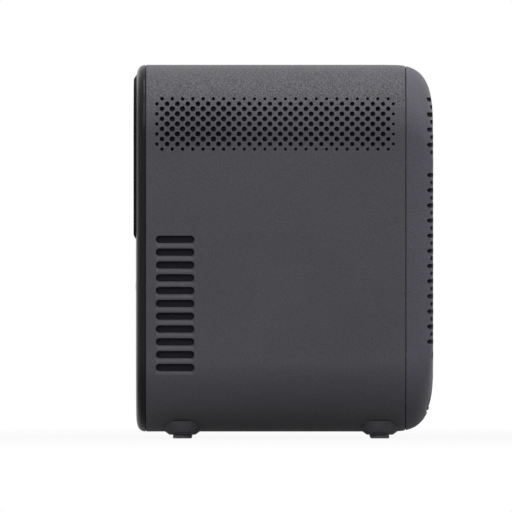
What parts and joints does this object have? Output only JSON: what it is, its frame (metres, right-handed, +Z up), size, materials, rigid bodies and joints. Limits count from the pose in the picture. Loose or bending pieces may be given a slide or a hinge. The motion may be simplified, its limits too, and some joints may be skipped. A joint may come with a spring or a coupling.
{
  "type": "disc player projector",
  "caption": "Upright grey projector with rounded corners, a dotted and a slotted vent field on each side, a raised black lens plate and a disc tray below it.",
  "frame": {"origin": "on the table, under the middle of the box that the whole object fills", "axes": "+Z up; the lens looks along -Y; +X is the side that the picture shows"},
  "size_m": [0.156, 0.1794, 0.224],
  "materials": {
    "case_grey": "fine grain, satin",
    "cover_grey": "fine grain, satin",
    "fascia_black": "polished",
    "plate_black": "mirror gloss",
    "shroud_black": "ribbed flock black",
    "panel_black": "satin",
    "foot_rubber": "matte",
    "brass": "machined",
    "mesh_black": "open cell foam",
    "screw_steel": "zinc plated",
    "key_grey": "satin",
    "pcb_green": "solder mask",
    "light_clear": "clear light pipe",
    "shelf_steel": "galvanised",
    "engine_black": "glass filled, dull",
    "fresnel_clear": "clear",
    "lcd_dark": "polarised",
    "lens_glass": "coated",
    "barrel_black": "satin",
    "gear_white": "acetal",
    "motor_steel": "plated",
    "led_white": "ceramic",
    "heatsink_alu": "extruded",
    "fan_black": "satin",
    "loader_black": "satin",
    "tray_black": "satin",
    "belt_rubber": "matte",
    "rod_steel": "ground",
    "turntable_black": "satin with a rubber ring",
    "pickup_zinc": "die cast",
    "puck_white": "satin",
    "component_mix": "moulded packages",
    "port_metal": "nickel plated shells",
    "inlet_black": "satin",
    "speaker_black": "satin",
    "cone_paper": "pressed paper"
  },
  "bodies": {
    "case": {"main_housing": "case_grey", "front_fascia": "fascia_black", "lens_plate": "plate_black", "lens_shroud": "shroud_black", "rear_cover": "cover_grey", "port_panel": "panel_black", "rubber_feet": "foot_rubber", "tripod_insert": "brass", "mesh_screens": "mesh_black", "screws": "screw_steel", "key_board": "pcb_green", "front_board": "pcb_green", "status_light": "light_clear", "loader_shelf": "shelf_steel", "engine_shelf": "shelf_steel", "engine_housing": "engine_black", "fresnel_lenses": "fresnel_clear", "lcd_panel": "lcd_dark", "condenser_lens": "lens_glass", "lens_mount": "engine_black", "focus_motor": "motor_steel", "led_module": "led_white", "heatsink": "heatsink_alu", "fan_frame": "fan_black", "loader_chassis": "loader_black", "loading_motor": "motor_steel", "drive_belt": "belt_rubber", "clamp_bridge": "shelf_steel", "main_board": "pcb_green", "power_board": "pcb_green", "board_parts": "component_mix", "io_ports": "port_metal", "ac_inlet": "inlet_black", "speakers": "speaker_black", "speaker_cones": "cone_paper"},
    "tray": {"disc_tray": "tray_black", "tray_door": "fascia_black"},
    "rack_wheel": {"rack_gear": "gear_white"},
    "pulley_wheel": {"pulley_gear": "gear_white"},
    "motor_wheel": {"motor_pulley": "gear_white"},
    "traverse": {"traverse_frame": "shelf_steel", "spindle_motor": "motor_steel", "guide_rods": "rod_steel", "sled_motor": "motor_steel"},
    "disc_table": {"turntable": "turntable_black"},
    "laser_sled": {"pickup": "pickup_zinc"},
    "laser_lens": {"pickup_lens": "lens_glass"},
    "sled_screw": {"lead_screw": "rod_steel"},
    "clamp": {"clamp_puck": "puck_white"},
    "lens": {"lens_barrel": "barrel_black", "lens_elements": "lens_glass"},
    "focus_wheel": {"focus_ring": "gear_white"},
    "focus_drive": {"focus_pinion": "gear_white"},
    "fan": {"fan_rotor": "fan_black"},
    "power": {"power_key": "key_grey"},
    "previous": {"previous_key": "key_grey"},
    "play": {"play_key": "key_grey"},
    "next": {"next_key": "key_grey"},
    "volume": {"volume_key": "key_grey"},
    "eject": {"eject_button": "fascia_black"}
  },
  "joints": [
    {"name": "tray_slide", "type": "slide", "parent": "case", "child": "tray", "axis": [0, -1, 0], "range_m": [0, 0.128]},
    {"name": "rack_gear_spin", "type": "hinge", "parent": "case", "child": "rack_wheel", "pos_m": [-0.0495, -0.063, 0.0983], "axis": [0, 0, 1], "range_deg": [0, 979.85]},
    {"name": "pulley_gear_spin", "type": "hinge", "parent": "case", "child": "pulley_wheel", "pos_m": [-0.033, -0.07069, 0.095], "axis": [0, 0, 1], "range_deg": [-3261.49, 0]},
    {"name": "motor_pulley_spin", "type": "hinge", "parent": "case", "child": "motor_wheel", "pos_m": [-0.002, -0.068, 0.094], "axis": [0, 0, 1], "range_deg": [-10136.06, 0]},
    {"name": "traverse_tilt", "type": "hinge", "parent": "case", "child": "traverse", "pos_m": [0, 0.066, 0.095], "axis": [1, 0, 0], "range_deg": [0, 3.3]},
    {"name": "turntable_spin", "type": "hinge", "parent": "traverse", "child": "disc_table", "pos_m": [0, -0.023, 0.105], "axis": [0, 0, 1], "continuous": true},
    {"name": "clamp_spin", "type": "hinge", "parent": "case", "child": "clamp", "pos_m": [0, -0.023, 0.115], "axis": [0, 0, 1], "continuous": true},
    {"name": "pickup_slide", "type": "slide", "parent": "traverse", "child": "laser_sled", "axis": [0, 1, 0], "range_m": [0, 0.034]},
    {"name": "lead_screw_spin", "type": "hinge", "parent": "traverse", "child": "sled_screw", "pos_m": [0.025, 0.02, 0.0996], "axis": [0, 1, 0], "range_deg": [0, 6122]},
    {"name": "pickup_lens_float", "type": "slide", "parent": "laser_sled", "child": "laser_lens", "axis": [0, 0, 1], "range_m": [-0.0004, 0.0004], "stiffness_N_per_m": 60},
    {"name": "lens_focus", "type": "slide", "parent": "case", "child": "lens", "axis": [0, -1, 0], "range_m": [-0.003, 0.003]},
    {"name": "focus_ring_spin", "type": "hinge", "parent": "case", "child": "focus_wheel", "pos_m": [0, -0.046, 0.169], "axis": [0, -1, 0], "range_deg": [-60.5, 60.5]},
    {"name": "focus_pinion_spin", "type": "hinge", "parent": "case", "child": "focus_drive", "pos_m": [0.017, -0.046, 0.13956], "axis": [0, -1, 0], "range_deg": [-282, 282]},
    {"name": "fan_spin", "type": "hinge", "parent": "case", "child": "fan", "pos_m": [0, 0.073, 0.169], "axis": [0, 1, 0], "continuous": true},
    {"name": "power_key_press", "type": "slide", "parent": "case", "child": "power", "axis": [0, 0, -1], "range_m": [0, 0.0005], "stiffness_N_per_m": 300},
    {"name": "previous_key_press", "type": "slide", "parent": "case", "child": "previous", "axis": [0, 0, -1], "range_m": [0, 0.0005], "stiffness_N_per_m": 300},
    {"name": "play_key_press", "type": "slide", "parent": "case", "child": "play", "axis": [0, 0, -1], "range_m": [0, 0.0005], "stiffness_N_per_m": 300},
    {"name": "next_key_press", "type": "slide", "parent": "case", "child": "next", "axis": [0, 0, -1], "range_m": [0, 0.0005], "stiffness_N_per_m": 300},
    {"name": "volume_key_press", "type": "slide", "parent": "case", "child": "volume", "axis": [0, 0, -1], "range_m": [0, 0.0005], "stiffness_N_per_m": 300},
    {"name": "eject_press", "type": "slide", "parent": "case", "child": "eject", "axis": [0, 1, 0], "range_m": [0, 0.0008], "stiffness_N_per_m": 300}
  ],
  "couplings": [
    {"joint": "rack_gear_spin", "follows": "tray_slide", "rad_per_m": 133.33},
    {"joint": "pulley_gear_spin", "follows": "tray_slide", "rad_per_m": -444.44},
    {"joint": "motor_pulley_spin", "follows": "tray_slide", "rad_per_m": -1381.8},
    {"joint": "clamp_spin", "follows": "turntable_spin", "ratio": 1},
    {"joint": "lead_screw_spin", "follows": "pickup_slide", "rad_per_m": 3141.6},
    {"joint": "focus_ring_spin", "follows": "lens_focus", "rad_per_m": 349.07},
    {"joint": "focus_pinion_spin", "follows": "lens_focus", "rad_per_m": -1629}
  ]
}
